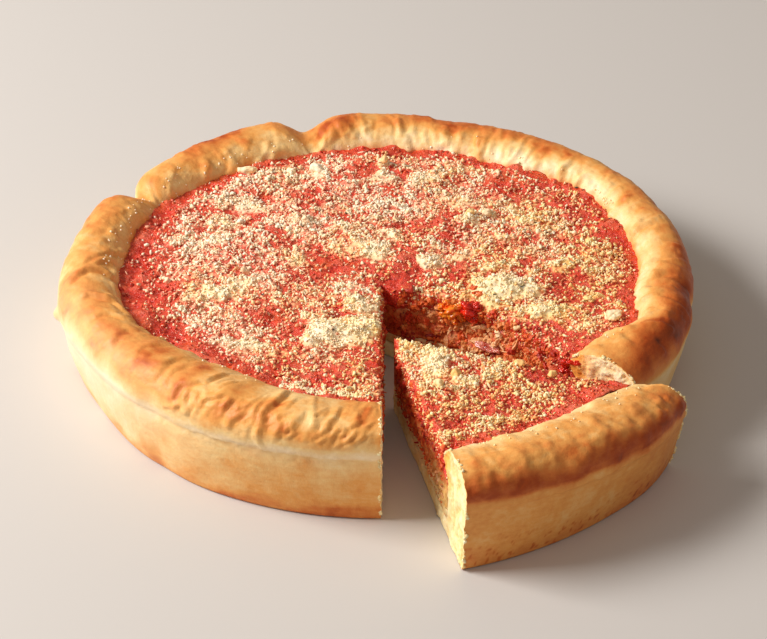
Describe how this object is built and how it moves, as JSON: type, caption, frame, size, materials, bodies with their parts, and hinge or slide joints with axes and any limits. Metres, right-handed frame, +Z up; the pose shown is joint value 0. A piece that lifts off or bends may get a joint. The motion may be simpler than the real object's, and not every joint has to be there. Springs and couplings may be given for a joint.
{
  "type": "deep dish pizza",
  "caption": "Round deep dish pizza with a tall rolled crust, tomato sauce under grated hard cheese, and a slice drawn part of the way out of its gap.",
  "frame": {"origin": "middle of the box around the pizza and its slice, on the surface that they stand on", "axes": "+Z up; -Y towards the side that the slice is drawn out of; +X to the right as seen from that side"},
  "size_m": [0.2585, 0.2828, 0.045],
  "materials": {
    "baked_dough": "matt baked crust, golden with browned ridges",
    "melted_cheese": "soft melted cheese, slightly oily",
    "crumbled_sausage": "crumbly cooked meat in sauce",
    "tomato_sauce": "wet, lumpy tomato sauce",
    "tomato_pulp": "wet chunk of tomato",
    "grated_cheese": "dry crumbs of hard cheese"
  },
  "bodies": {
    "root": {"pizza_crust": "baked_dough", "slice_crust": "baked_dough", "pizza_cheese": "melted_cheese", "slice_cheese": "melted_cheese", "pizza_sausage": "crumbled_sausage", "slice_sausage": "crumbled_sausage", "pizza_sauce": "tomato_sauce", "slice_sauce": "tomato_sauce", "tomato_chunk_1": "tomato_pulp", "tomato_chunk_2": "tomato_pulp", "cheese_flake": "grated_cheese"}
  },
  "joints": []
}
